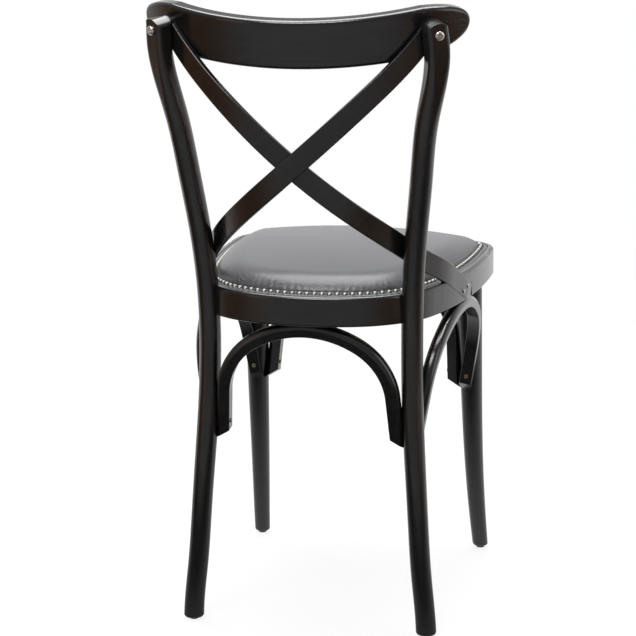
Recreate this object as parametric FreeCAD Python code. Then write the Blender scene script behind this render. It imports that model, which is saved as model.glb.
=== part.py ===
import FreeCAD, Part
import math
import os

from FreeCAD import Vector

# Bentwood side chair with two crossed back slats and a nailed upholstered seat.
# Millimetres. +Z is up, the sitter faces -Y, and X = 0 is the middle of the chair.
# Heights here are measured from the leg ends. The finished chair is raised by its glides to stand on Z = 0.
# Paired pieces are drawn on the +X side and mirrored, so "left" is the sitter's left, at +X.

# Seat ring: one bent strip, drawn as tangent bends that meet from the rear round to the front
RING_TOP = 478.5
RING_HEIGHT = 41.3
RING_BOTTOM = RING_TOP - RING_HEIGHT
RING_WALL = 36.0
RING_TOP_ROUND = 4.5
RING_BOTTOM_ROUND = 3.0
RING_REAR_Y = 227.0
RING_BENDS = (
    # radius, heading where the bend ends, in degrees: rear, rear corner, two for the side, front corner
    (252.0, 17.5),
    (139.0, 70.0),
    (455.0, 80.5),
    (980.0, 92.6),
    (47.0, 160.0),
)
REBATE_INSET = 8.4
REBATE_DEPTH = 10.0
RELIEF_HEIGHT = 1.6

# Drop-in seat: board, foam and cover
BOARD_THICKNESS = 9.0
BOARD_BOTTOM = RING_TOP - REBATE_DEPTH
BOARD_TOP = BOARD_BOTTOM + BOARD_THICKNESS
COVER_GAP = 0.8
COVER_SKIN = 1.3
COVER_INSET = REBATE_INSET + COVER_GAP
SKIRT_BOTTOM = BOARD_BOTTOM + 0.4
SKIRT_ROUND = 1.2
SKIRT_PROUD = 0.2
SKIRT_TOP = RING_TOP - SKIRT_ROUND + SKIRT_PROUD
BOARD_INSET = COVER_INSET + COVER_SKIN + SKIRT_ROUND + 0.2
MARGIN_SLOPE = 6.0
MARGIN_WIDTH = 12.2
PAD_INSET = COVER_INSET + SKIRT_ROUND + MARGIN_WIDTH
PAD_START = SKIRT_TOP + SKIRT_ROUND + MARGIN_WIDTH * math.tan(math.radians(MARGIN_SLOPE))
PAD_CROWN = 30.5
PAD_DOME = 1650.0
PAD_SLOPE = 50.0
PAD_ROLL = 12.0
PAD_SIDE_RISE = 24.5
PAD_MIDDLE_Y = 10.0
FOAM_CLEARANCE = 0.4

# Upholstery nails along the margin of the cover
NAIL_PITCH = 10.4
NAIL_RADIUS = 4.2
NAIL_DOME = 2.4
NAIL_RIM = 0.35
NAIL_INSET = COVER_INSET + 8.8
MARGIN_RISE = math.tan(math.radians(MARGIN_SLOPE))
NAIL_HEIGHT = SKIRT_TOP + SKIRT_ROUND + (NAIL_INSET - COVER_INSET - SKIRT_ROUND) * MARGIN_RISE
NAIL_LIFT = 0.22
PIN_RADIUS = 0.7
PIN_LENGTH = 8.0

# Small glides under the rounded ends of the legs
LEG_END = 0.0
GLIDE_HEIGHT = 3.0
GLIDE_RADIUS = 6.2
GLIDE_EDGE = 0.8
GLIDE_PIN_RADIUS = 1.2
GLIDE_PIN_LENGTH = 16.0
FOOT_ROUND = 4.0

# Rear posts: continuous rods from the glides to the crest rail
POST_PATH = (
    # height, x, y, radius
    (LEG_END, 167.9, 196.8, 14.2),
    (80.0, 160.9, 194.2, 14.1),
    (160.0, 155.0, 189.8, 14.2),
    (240.0, 149.7, 183.8, 14.6),
    (320.0, 144.9, 176.4, 15.0),
    (400.0, 143.2, 171.6, 15.0),
    (480.0, 144.9, 174.2, 15.0),
    (560.0, 151.3, 183.2, 15.0),
    (640.0, 161.0, 196.8, 15.2),
    (720.0, 171.9, 212.6, 15.4),
)
POST_TOP_WIDTH = 31.0
POST_TOP_DEPTH = 24.5
POST_TOP_CORNER = 6.0
POST_TOP_ARCH = 19.0
POST_TOP_RISE = 15.5
POST_TOP_ABOVE = 24.0
POST_TOP_BELOW = 30.0
POST_FLAT = 0.3

# Front legs: tapering turned rods with a tenon into the ring
LEG_PATH = (
    # height, x, y, radius
    (LEG_END, 174.2, -198.8, 11.6),
    (90.0, 170.0, -180.1, 13.3),
    (180.0, 167.4, -167.0, 14.8),
    (270.0, 166.1, -158.4, 16.3),
    (360.0, 164.8, -153.6, 17.7),
    (RING_BOTTOM, 163.4, -152.6, 18.6),
)
TENON_RADIUS = 8.0
TENON_LENGTH = 24.0

# Crest rail: a leaning board bent on a circle whose plane dips towards the back, slimmer towards its ends
RAIL_RADIUS = 305.0
RAIL_DIP = 16.5
RAIL_LEAN = 12.9
RAIL_HEIGHT = 66.0
RAIL_THICKNESS = 21.0
RAIL_ROUND = 5.0
RAIL_MIDDLE_Y = 272.0
RAIL_MIDDLE_Z = 821.8
RAIL_TIP = 250.5
RAIL_TIP_RISE = 2.5
RAIL_TAPER = 122.0
RAIL_OVERRUN = 2.6
RAIL_FULLNESS = 2.25
RAIL_SPARE = 8.0
RAIL_SHORT_EDGE = 60.0
BOLT_TURN = 35.2
BOLT_RISE = 4.0

# Cross slats: thin strips from the top of one post to the ring below the other post
SLAT_WIDTH = 29.0
SLAT_THICKNESS = 7.5
SLAT_ROUND = 1.6
SLAT_END_RADIUS = 15.0
SLAT_GAP = 0.2
SLAT_FIT = 0.1
SLAT_SPREAD = 90.0
SLAT_PROUD = 0.5
SLAT_PATH = (
    # x, y, z of the middle of the strip, after its end behind the crest rail
    (138.5, 239.2, 790.8),
    (92.2, 256.4, 744.3),
    (43.8, 265.8, 699.3),
    (-5.0, 263.3, 656.0),
    (-52.1, 247.6, 615.4),
    (-94.4, 217.6, 578.0),
    (-129.1, 175.3, 543.3),
    (-157.2, 125.0, 510.6),
)
SLAT_FOOT = (
    # y, z of the last stations, where the strip follows the side of the ring
    (96.5, 494.3),
    (69.5, 479.3),
    (40.0, 463.9),
    (10.4, 448.9),
    (-16.0, 435.3),
)
SLAT_STATIONS = 25
SLAT_TURN_SHARE = 0.25
SLAT_END_Y = -6.0

# Arches under the seat: D-shaped rods, flat inside the arch and round outside
ARCH_WIDTH = 18.5
ARCH_ROUND = 8.0
ARCH_EDGE = 1.5
ARCH_BENDS = {
    # crown radius, turn where the shoulder starts, depth of the rod
    "arch_rear": (150.6, 32.2, 19.5),
    "arch_front": (196.0, 32.0, 19.5),
    "arch_left": (193.7, 33.8, 16.5),
}
ARCH_LIMB_TURN = 86.0
ARCH_FOOT = 262.5
ARCH_FOOT_RISE = 12.5
ARCH_BITE = 1.0
ARCH_CROWN = RING_BOTTOM + 1.2
ARCH_SCREW_RISE = 25.5
ARCH_SCREW_Z = ARCH_FOOT + ARCH_SCREW_RISE
ARCH_SCREW_DEPTH = 10.0
REAR_ARCH_CROWN_Y = 204.0
FRONT_ARCH_CROWN_Y = -190.0
SIDE_ARCH_CROWN_X = 182.0
SIDE_ARCH_CROWN_Y = 12.5

# Fasteners
BOLT_RADIUS = 3.0
BOLT_HEAD_RADIUS = 6.5
BOLT_HEAD_HEIGHT = 3.6
BOLT_HEAD_CROWN = 2.6
BOLT_SOCKET = 4.0
BOLT_SOCKET_FLOOR = 1.3
BORE_CLEARANCE = 0.15
BORE_LEAD = 6.0
BORE_SPARE = 0.5
THREAD_CLEARANCE = 0.05
HEAD_LIFT = 0.02
BOLT_REACH = 13.0
INSERT_RADIUS = 4.6
INSERT_LENGTH = 12.0
RING_BOLT_REACH = RING_WALL + 13.0
SCREW_RADIUS = 1.8
SCREW_HEAD_RADIUS = 3.1
SCREW_HEAD_HEIGHT = 1.7
SCREW_HEAD_CROWN = 0.9
SLOT_WIDTH = 0.9
SLOT_DEPTH = 0.8
SLAT_SCREW_REACH = 19.0
SLAT_SCREWS = (
    # y and z of the two slotted screws in each slat end
    (15.5, 457.0),
    (33.5, 453.0),
)
SEAT_SCREW_REACH = 36.5
SEAT_SCREW_INSET = 25.0
SEAT_SCREW_PLACES = (
    # headings round the ring of the screws that hold the drop-in seat, in degrees
    30.0,
    172.0,
)

# Sizes of the blocks of waste that are cut away, larger than what they cut
WASTE_SMALL = 60.0
WASTE_LARGE = 200.0
UP = Vector(0, 0, 1)
MIDDLE = Vector(0, 0, 0)


def mirrored(shape):
    """The same piece on the other side of the chair."""
    return shape.mirror(MIDDLE, Vector(1, 0, 0))


def unit(vector):
    """A copy of the vector, one long."""
    copy = Vector(vector)
    copy.normalize()
    return copy


def rod(start, direction, radius, length):
    """A straight cylinder from a point along a direction."""
    return Part.makeCylinder(radius, length, start, unit(direction))


def seat_bends():
    """Centre x, centre y, radius and the two headings of each bend of the ring on the +X half."""
    bends = []
    x = 0.0
    y = RING_REAR_Y
    start = 0.0
    for radius, end_degrees in RING_BENDS:
        end = math.radians(end_degrees)
        centre_x = x - radius * math.sin(start)
        centre_y = y - radius * math.cos(start)
        bends.append((centre_x, centre_y, radius, start, end))
        x = centre_x + radius * math.sin(end)
        y = centre_y + radius * math.cos(end)
        start = end
    front_radius = x / math.sin(math.pi - start)
    bends.append((0.0, y - front_radius * math.cos(start), front_radius, start, math.pi))
    return bends


def bend_point(bend, heading, inset, height):
    """A point of one bend, moved in from the outside of the ring."""
    centre_x, centre_y, radius = bend[0], bend[1], bend[2]
    reach = radius - inset
    return Vector(centre_x + reach * math.sin(heading), centre_y + reach * math.cos(heading), height)


def side_heading(y):
    """The bend at the side of the ring that passes a depth, and the heading there."""
    for bend in seat_bends()[1:-1]:
        near = bend_point(bend, bend[3], 0.0, 0.0).y
        far = bend_point(bend, bend[4], 0.0, 0.0).y
        if far <= y <= near:
            return bend, math.acos((y - bend[1]) / bend[2])
    raise ValueError("depth outside the side of the ring")


def seat_wire(inset, height):
    """The closed outline of the ring, moved in by an inset."""

    def place(bend, heading, side):
        point = bend_point(bend, heading, inset, height)
        return Vector(point.x * side, point.y, height)

    bends = seat_bends()
    rear, front = bends[0], bends[-1]
    edges = []
    edges.append(Part.Arc(place(rear, rear[4], -1), place(rear, 0.0, 1), place(rear, rear[4], 1)).toShape())
    for bend in bends[1:-1]:
        half = 0.5 * (bend[3] + bend[4])
        edges.append(Part.Arc(place(bend, bend[3], 1), place(bend, half, 1), place(bend, bend[4], 1)).toShape())
    edges.append(Part.Arc(place(front, front[3], 1), place(front, math.pi, 1), place(front, front[3], -1)).toShape())
    for bend in reversed(bends[1:-1]):
        half = 0.5 * (bend[3] + bend[4])
        edges.append(Part.Arc(place(bend, bend[4], -1), place(bend, half, -1), place(bend, bend[3], -1)).toShape())
    return Part.Wire(edges)


def seat_slab(inset, bottom, top):
    """A flat slab with the ring's outline."""
    return Part.Face(seat_wire(inset, bottom)).extrude(Vector(0, 0, top - bottom))


def level_edges(shape, height):
    """The edges of a shape that lie at one height."""
    found = []
    for edge in shape.Edges:
        box = edge.BoundBox
        if abs(box.ZMin - height) < 0.01 and abs(box.ZMax - height) < 0.01:
            found.append(edge)
    return found


def seat_ring_blank():
    """The bent ring with rounded outer edges and the rebate that the seat drops into."""
    body = seat_slab(0.0, RING_BOTTOM, RING_TOP)
    body = body.makeFillet(RING_TOP_ROUND, level_edges(body, RING_TOP))
    body = body.makeFillet(RING_BOTTOM_ROUND, level_edges(body, RING_BOTTOM))
    body = body.cut(seat_slab(RING_WALL, RING_BOTTOM - 1.0, RING_TOP + 1.0))
    return body.cut(seat_slab(REBATE_INSET, BOARD_BOTTOM, RING_TOP + 1.0))


def pad_foot(skin):
    """Inset and height of the crease between the nail margin and the pad, both taken in by a skin."""
    margin = math.radians(MARGIN_SLOPE)
    side = math.radians(PAD_SLOPE)
    step = skin * (1.0 / math.cos(side) - 1.0 / math.cos(margin)) / (math.tan(side) - math.tan(margin))
    return PAD_INSET + step, PAD_START + step * math.tan(margin) - skin / math.cos(margin)


def pad_solid(skin):
    """The domed pad above the nail margin with drawn-in sides, taken in by a skin thickness."""
    inset, height = pad_foot(skin)
    run = PAD_SIDE_RISE / math.tan(math.radians(PAD_SLOPE))
    crown = seat_wire(inset + run, height + PAD_SIDE_RISE)
    sides = Part.makeLoft([seat_wire(inset, height), crown], True, True)
    centre = Vector(0.0, PAD_MIDDLE_Y, PAD_START + PAD_CROWN - PAD_DOME)
    body = sides.common(Part.makeSphere(PAD_DOME - skin, centre))
    rim = [edge for edge in body.Edges if on_dome(edge, centre, PAD_DOME - skin)]
    return body.makeFillet(PAD_ROLL - skin, rim)


def on_dome(edge, centre, radius):
    """Whether an edge lies on the dome of the pad."""
    middle = edge.valueAt(0.5 * (edge.FirstParameter + edge.LastParameter))
    return abs((middle - centre).Length - radius) < 0.01


def sloped_ring(inset, skin, bottom):
    """The part of the cover beside and below the pad: an upright skirt and the sloping nail margin."""
    shoulder = SKIRT_TOP + SKIRT_ROUND
    wires = [
        seat_wire(inset + skin, bottom),
        seat_wire(inset + skin, SKIRT_TOP - 0.4 * skin),
        seat_wire(inset + skin + SKIRT_ROUND, shoulder - 0.8 * skin),
        seat_wire(*pad_foot(skin)),
    ]
    return Part.makeLoft(wires, True, True)


def cover_body(skin, bottom):
    """The whole outside of the cover, or its inside where the skin thickness is given."""
    return sloped_ring(COVER_INSET, skin, bottom).fuse(pad_solid(skin)).removeSplitter()


def seat_cover():
    """The leather skin, open underneath, where it stops at the ledge of the ring."""
    return cover_body(0.0, SKIRT_BOTTOM).cut(cover_body(COVER_SKIN, SKIRT_BOTTOM - 3.0))


def seat_foam():
    """The foam between the board and the cover, a little clear of both."""
    skin = COVER_SKIN + FOAM_CLEARANCE
    inset, height = pad_foot(skin)
    foot = seat_slab(inset, BOARD_TOP + FOAM_CLEARANCE, height)
    return foot.fuse(pad_solid(skin)).removeSplitter()


def nail_places():
    """Point and outward direction of every nail, spaced evenly all round the cover."""
    bends = seat_bends()
    half = sum((bend[2] - NAIL_INSET) * (bend[4] - bend[3]) for bend in bends)
    count = 2 * int(round(half / NAIL_PITCH))
    step = 2.0 * half / count
    places = []
    for number in range(count):
        travelled = (number + 0.5) * step
        side = 1
        if travelled > half:
            travelled = 2.0 * half - travelled
            side = -1
        for bend in bends:
            reach = bend[2] - NAIL_INSET
            length = reach * (bend[4] - bend[3])
            if travelled <= length:
                heading = bend[3] + travelled / reach
                point = bend_point(bend, heading, NAIL_INSET, NAIL_HEIGHT)
                out = Vector(side * math.sin(heading), math.cos(heading), 0.0)
                places.append((Vector(side * point.x, point.y, point.z), out))
                break
            travelled -= length
    return places


def nail_axis(out):
    """The direction that a nail head faces on the sloping margin."""
    slope = math.radians(MARGIN_SLOPE)
    return out * math.sin(slope) + UP * math.cos(slope)


def nail_shape():
    """One upholstery nail on the Z axis: a domed head over a thin pin."""
    top = NAIL_RIM + NAIL_DOME
    ball = (NAIL_RADIUS ** 2 + NAIL_DOME ** 2) / (2.0 * NAIL_DOME)
    dome = Part.makeSphere(ball, Vector(0, 0, top - ball))
    head = Part.makeCylinder(NAIL_RADIUS, top).common(dome)
    return head.fuse(Part.makeCylinder(PIN_RADIUS, PIN_LENGTH + 0.1, Vector(0, 0, -PIN_LENGTH))).removeSplitter()


def turned_to(shape, point, axis):
    """A shape drawn on the Z axis, turned to an axis and set on a point."""
    copy = shape.copy()
    copy.Placement = FreeCAD.Placement(point, FreeCAD.Rotation(UP, axis))
    return copy


def nailhead_trim():
    """All the upholstery nails, each just above the cover."""
    nail = nail_shape()
    nails = []
    for point, out in nail_places():
        axis = nail_axis(out)
        nails.append(turned_to(nail, point + axis * NAIL_LIFT, axis))
    return Part.makeCompound(nails)


def nail_holes():
    """The pin holes of all the nails."""
    holes = []
    for point, out in nail_places():
        axis = nail_axis(out)
        start = point + axis * (NAIL_LIFT + 0.2)
        holes.append(rod(start, axis * -1.0, PIN_RADIUS + THREAD_CLEARANCE, PIN_LENGTH + BORE_SPARE + 0.1))
    return Part.makeCompound(holes)


def rounded_section(centre, across, through, width, depth, corner):
    """A closed wire: a rectangle with rounded corners, across and through being unit directions."""
    half_w = 0.5 * width
    half_d = 0.5 * depth
    diagonal = corner * (1.0 - math.sqrt(0.5))

    def at(u, v):
        return centre + across * u + through * v

    edges = []
    signs = ((1, 1), (-1, 1), (-1, -1), (1, -1))
    for index, (su, sv) in enumerate(signs):
        beside = at(su * half_w, sv * (half_d - corner))
        above = at(su * (half_w - corner), sv * half_d)
        middle = at(su * (half_w - diagonal), sv * (half_d - diagonal))
        if index % 2 == 0:
            first, last = beside, above
        else:
            first, last = above, beside
        if edges:
            edges.append(Part.LineSegment(end, first).toShape())
        else:
            opening = first
        edges.append(Part.Arc(first, middle, last).toShape())
        end = last
    edges.append(Part.LineSegment(end, opening).toShape())
    return Part.Wire(edges)


def curve_through(points):
    """A smooth curve through points."""
    curve = Part.BSplineCurve()
    curve.interpolate(points)
    return curve


def rail_axis():
    """The axis that the crest rail is bent around: a point on it and its direction."""
    dip = math.radians(RAIL_DIP)
    direction = Vector(0, math.sin(dip), math.cos(dip))
    inward = Vector(0, -math.cos(dip), math.sin(dip))
    middle = Vector(0, RAIL_MIDDLE_Y, RAIL_MIDDLE_Z)
    return middle + inward * RAIL_RADIUS, direction


def rail_frame(turn):
    """Point, outward direction and height direction of the rail's rear face, turned towards +X."""
    lean = math.radians(RAIL_LEAN)
    point, direction = rail_axis()
    spin = FreeCAD.Rotation(direction, -turn)
    arm = Vector(0, RAIL_MIDDLE_Y, RAIL_MIDDLE_Z) - point
    out = spin.multVec(Vector(0, math.cos(lean), -math.sin(lean)))
    height = spin.multVec(Vector(0, math.sin(lean), math.cos(lean)))
    return point + spin.multVec(arm), out, height


def rail_end_outline():
    """Points round the slimming end of the rail: distance along the bend and height from its middle."""
    half = 0.5 * RAIL_HEIGHT + RAIL_OVERRUN
    points = []
    for number in range(13):
        angle = math.radians(15.0 * number)
        side = 1.0 if number <= 6 else -1.0
        reach = abs(math.sin(angle)) ** (2.0 / RAIL_FULLNESS)
        rise = abs(math.cos(angle)) ** (2.0 / RAIL_FULLNESS)
        height = RAIL_TIP_RISE + (side * half - RAIL_TIP_RISE) * rise
        points.append((RAIL_TIP - RAIL_TAPER * (1.0 - reach), height))
    return points


def rail_end_trim():
    """The waste that is cut away round one end of the rail."""
    start = RAIL_TIP - 0.5 * RAIL_TAPER
    base, out, height = rail_frame(math.degrees(start / RAIL_RADIUS))
    along = out.cross(height)
    origin = base - out * WASTE_SMALL

    def place(distance, rise):
        return origin + along * (RAIL_RADIUS * math.sin((distance - start) / RAIL_RADIUS)) + height * rise

    points = [place(distance, rise) for distance, rise in rail_end_outline()]
    curve = curve_through(points).toShape()
    closing = Part.LineSegment(points[-1], points[0]).toShape()
    keep = Part.Face(Part.Wire([curve, closing])).extrude(out * 2.0 * WASTE_SMALL)
    block = Part.makeBox(RAIL_TAPER + WASTE_SMALL, 2.0 * WASTE_SMALL, 2.0 * RAIL_HEIGHT)
    rotation = FreeCAD.Rotation(along, out, height, "XYZ")
    corner = origin + along * (points[0] - origin).dot(along) - height * RAIL_HEIGHT
    block.Placement = FreeCAD.Placement(corner, rotation)
    return block.cut(keep)


def crest_rail_blank():
    """The bent board, slimmed to round ends, with softened edges."""
    centre, out, height = rail_frame(0.0)
    half = 0.5 * RAIL_HEIGHT
    corners = [
        centre + height * half,
        centre + height * half - out * RAIL_THICKNESS,
        centre - height * half - out * RAIL_THICKNESS,
        centre - height * half,
    ]
    face = Part.Face(Part.makePolygon(corners + [corners[0]]))
    point, direction = rail_axis()
    half_turn = math.degrees((RAIL_TIP + RAIL_SPARE) / RAIL_RADIUS)
    face.rotate(point, direction, -half_turn)
    body = face.revolve(point, direction, 2.0 * half_turn)
    trim = rail_end_trim()
    body = body.cut(trim).cut(mirrored(trim))
    long_edges = [edge for edge in body.Edges if edge.Length > RAIL_SHORT_EDGE]
    return body.makeFillet(RAIL_ROUND, long_edges)


def bolt_frame():
    """Where the crest bolt meets the rear face of the rail, and the direction it comes from."""
    point, out, height = rail_frame(BOLT_TURN)
    return point + height * BOLT_RISE, out, height


def post_sections():
    """Cross-sections of the rear post: round below, flattened where the slat and the rail meet it."""
    hinge, out, height = bolt_frame()
    top = hinge + out * (SLAT_THICKNESS + 0.5 * POST_TOP_DEPTH)
    above = top + height * POST_TOP_ABOVE
    below = top - height * POST_TOP_BELOW
    points = [Vector(x, y, z) for z, x, y, radius in POST_PATH]
    path = curve_through(points + [below, top, above])
    sections = []
    for z, x, y, radius in POST_PATH:
        place = Vector(x, y, z)
        along = unit(Vector(*path.tangent(path.parameter(place))[0]))
        if z == LEG_END:
            along = UP
        across = unit(along.cross(out) * -1.0)
        through = unit(across.cross(along) * -1.0)
        corner = radius - POST_FLAT
        sections.append(rounded_section(place, across, through, 2.0 * radius, 2.0 * radius, corner))
    for place in (below, top, above):
        across = unit(height.cross(out) * -1.0)
        sections.append(rounded_section(place, across, out, POST_TOP_WIDTH, POST_TOP_DEPTH, POST_TOP_CORNER))
    return sections


def rear_post_blank():
    """The post with its arched top, before it is let in at the ring."""
    body = Part.makeLoft(post_sections(), True, False)
    hinge, out, height = bolt_frame()
    across = out.cross(height)
    start = hinge + height * (POST_TOP_RISE - POST_TOP_ARCH) - out * SLAT_THICKNESS
    keep = Part.makeCylinder(POST_TOP_ARCH, WASTE_SMALL, start, out)
    block = Part.makeBox(WASTE_SMALL, WASTE_SMALL, WASTE_SMALL)
    rotation = FreeCAD.Rotation(across, out, height, "XYZ")
    block.Placement = FreeCAD.Placement(start - across * 0.5 * WASTE_SMALL, rotation)
    return body.cut(block.cut(keep))


def front_leg_blank():
    """The tapering leg with a round tenon on top."""
    points = [Vector(x, y, z) for z, x, y, radius in LEG_PATH]
    path = curve_through(points)
    wires = []
    for z, x, y, radius in LEG_PATH:
        place = Vector(x, y, z)
        along = unit(Vector(*path.tangent(path.parameter(place))[0]))
        if z in (LEG_END, RING_BOTTOM):
            along = UP
        wires.append(Part.Wire(Part.makeCircle(radius, place, along)))
    body = Part.makeLoft(wires, True, False)
    top = points[-1]
    tenon = Part.makeCylinder(TENON_RADIUS, TENON_LENGTH + 1.0, Vector(top.x, top.y, RING_BOTTOM - 1.0))
    return body.fuse(tenon).removeSplitter()


def slat_line(offset):
    """The middle line of a slat, bowed apart at the crossing by an offset."""
    hinge, out, height = bolt_frame()
    points = [hinge + out * (0.5 * SLAT_THICKNESS)]
    points += [Vector(*place) for place in SLAT_PATH]
    for y, z in SLAT_FOOT:
        bend, heading = side_heading(y)
        place = bend_point(bend, heading, 0.5 * SLAT_THICKNESS - SLAT_PROUD, z)
        points.append(Vector(-place.x, place.y, place.z))
    moved = []
    for point in points:
        bow = offset * math.exp(-(point.x / SLAT_SPREAD) ** 2)
        moved.append(Vector(point.x, point.y + bow, point.z))
    return curve_through(moved)


def rail_normal(place):
    """The direction that the rear face of the rail has beside a point."""
    point, direction = rail_axis()
    arm = place - point
    arm = unit(arm - direction * arm.dot(direction))
    tilt = math.radians(RAIL_LEAN - RAIL_DIP)
    return arm * math.cos(tilt) - direction * math.sin(tilt)


def slat_normal(place, along, share):
    """The direction that the rear face of a slat has: with the rail at its top, then on edge."""
    lean = math.radians(RAIL_LEAN) * (1.0 - share)
    plan = unit(Vector(along.y, -along.x, 0.0))
    edgewise = plan * math.cos(lean) - UP * math.sin(lean)
    part = max(0.0, 1.0 - share / SLAT_TURN_SHARE)
    blend = part * part * (3.0 - 2.0 * part)
    return rail_normal(place) * blend + edgewise * (1.0 - blend)


def slat_frames(offset):
    """Middle point, edgewise direction and rear direction of a slat at its stations."""
    line = slat_line(offset)
    first = line.FirstParameter
    last = line.LastParameter
    frames = []
    for number in range(SLAT_STATIONS):
        share = number / (SLAT_STATIONS - 1.0)
        parameter = first + (last - first) * share
        place = line.value(parameter)
        along = unit(Vector(*line.tangent(parameter)[0]))
        across = unit(slat_normal(place, along, share).cross(along))
        frames.append((place, across, unit(along.cross(across))))
    return frames


def cross_slat_blank(offset):
    """A slat from the top of the +X post to the ring on the -X side, standing on edge all the way."""
    hinge, out, height = bolt_frame()
    sections = []
    for place, across, normal in slat_frames(offset):
        sections.append(rounded_section(place, across, normal, SLAT_WIDTH, SLAT_THICKNESS, SLAT_ROUND))
    strip = Part.makeLoft(sections, True, False)
    end = Part.makeCylinder(SLAT_END_RADIUS, SLAT_THICKNESS, hinge, out)
    body = strip.fuse(end).removeSplitter()
    corner = Vector(-1.5 * WASTE_LARGE, -0.5 * WASTE_LARGE, RING_BOTTOM - WASTE_SMALL)
    below = Part.makeBox(WASTE_LARGE, WASTE_LARGE, WASTE_SMALL, corner)
    return body.cut(below).cut(beyond_foot(SLAT_END_Y))


def beyond_foot(y):
    """The space in front of the end of a slat foot."""
    corner = Vector(-1.5 * WASTE_LARGE, y - WASTE_LARGE, RING_BOTTOM - WASTE_SMALL)
    return Part.makeBox(WASTE_LARGE, WASTE_LARGE, 2.0 * WASTE_LARGE, corner)


def ring_groove(offset):
    """The groove in the side of the ring for a slat foot, open to the outside."""
    deep = 0.5 * SLAT_THICKNESS + SLAT_FIT
    wide = 0.5 * SLAT_WIDTH + SLAT_FIT
    sections = []
    for place, across, normal in slat_frames(offset)[SLAT_STATIONS // 2 :]:
        inner = place - normal * deep
        outer = place + normal * SLAT_THICKNESS
        corners = [inner - across * wide, inner + across * wide, outer + across * wide, outer - across * wide]
        sections.append(Part.makePolygon(corners + [corners[0]]))
    return Part.makeLoft(sections, True, False).cut(beyond_foot(SLAT_END_Y - SLAT_FIT))


def arch_run(crown, big, turn, small, foot_x, foot):
    """The line of one side of an arch from the crown to the foot, as arc and corner points."""
    points = []
    x = 0.0
    z = crown
    start = 0.0
    for radius, end in ((big, turn), (small, math.radians(ARCH_LIMB_TURN))):
        centre_x = x - radius * math.sin(start)
        centre_z = z - radius * math.cos(start)
        half = 0.5 * (start + end)
        points.append((x, z))
        points.append((centre_x + radius * math.sin(half), centre_z + radius * math.cos(half)))
        x = centre_x + radius * math.sin(end)
        z = centre_z + radius * math.cos(end)
        start = end
    points.append((x, z))
    points.append((foot_x, foot))
    return points


def arch_runs(name, half_span, rise, foot):
    """The outer and the inner line of one side of an arch; its half span is at Z = 0."""
    big, turn_degrees, depth = ARCH_BENDS[name]
    turn = math.radians(turn_degrees)
    upright = math.radians(ARCH_LIMB_TURN)
    flare = math.cos(upright) / math.sin(upright)
    reach = math.sin(upright) - math.sin(turn)
    drop = math.cos(turn) - math.cos(upright)
    level = rise - big * (1.0 - math.cos(turn))
    small = (half_span - big * math.sin(turn) - level * flare) / (reach - drop * flare)
    outer = arch_run(rise, big, turn, small, half_span - foot * flare, foot)
    inner_foot = foot + ARCH_FOOT_RISE
    inner_x = half_span - depth / math.sin(upright) - inner_foot * flare
    inner = arch_run(rise - depth, big - depth, turn, small - depth, inner_x, inner_foot)
    return outer, inner


def run_edges(points, side):
    """The edges of one side of an arch line, in the plane Y = 0."""

    def at(point):
        return Vector(point[0] * side, 0.0, point[1])

    crown = Part.Arc(at(points[0]), at(points[1]), at(points[2])).toShape()
    shoulder = Part.Arc(at(points[2]), at(points[3]), at(points[4])).toShape()
    limb = Part.LineSegment(at(points[4]), at(points[5])).toShape()
    return [crown, shoulder, limb]


def arch_blank(name, half_span, rise, foot):
    """A D-shaped arch standing in the plane Y = 0."""
    outer, inner = arch_runs(name, half_span, rise, foot)
    outside = run_edges(outer, 1) + run_edges(outer, -1)
    inside = run_edges(inner, 1) + run_edges(inner, -1)
    feet = []
    for side in (1, -1):
        tip = Vector(outer[5][0] * side, 0.0, outer[5][1])
        heel = Vector(inner[5][0] * side, 0.0, inner[5][1])
        feet.append(Part.LineSegment(tip, heel).toShape())
    outline = Part.Wire(Part.__sortEdges__(outside + inside + feet))
    body = Part.Face(outline).extrude(Vector(0, ARCH_WIDTH, 0))
    body.translate(Vector(0, -0.5 * ARCH_WIDTH, 0))
    body = body.makeFillet(ARCH_ROUND, beside(body, outside))
    return body.makeFillet(ARCH_EDGE, beside(body, inside))


def beside(body, lines):
    """The edges of an arch that run beside given lines of its middle plane."""
    found = []
    for edge in body.Edges:
        centre = edge.CenterOfMass
        if abs(abs(centre.y) - 0.5 * ARCH_WIDTH) > 0.01:
            continue
        for line in lines:
            middle = line.CenterOfMass
            if abs(middle.x - centre.x) < 0.01 and abs(middle.z - centre.z) < 0.01:
                found.append(edge)
    return found


def post_at(height):
    """Centre and radius of the rear post at a height."""
    return between(POST_PATH, height)


def leg_at(height):
    """Centre and radius of the front leg at a height."""
    return between(LEG_PATH, height)


def between(path, height):
    """Straight-line values between the stations of a post or leg."""
    for low, high in zip(path, path[1:]):
        if low[0] <= height <= high[0]:
            share = (height - low[0]) / (high[0] - low[0])
            x = low[1] + (high[1] - low[1]) * share
            y = low[2] + (high[2] - low[2]) * share
            radius = low[3] + (high[3] - low[3]) * share
            return Vector(x, y, height), radius
    raise ValueError("height outside the path")


def arch_placement(rear, front, crown):
    """Placement of an arch drawn at Y = 0: its X axis from front to rear foot, its Z axis up to the crown."""
    across = unit(rear - front)
    middle = (rear + front) * 0.5
    up = crown - middle
    up = unit(up - across * up.dot(across))
    through = up.cross(across)
    rotation = FreeCAD.Rotation(across, through, up, "XYZ")
    return FreeCAD.Placement(middle, rotation), (crown - middle).dot(up), up


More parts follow.
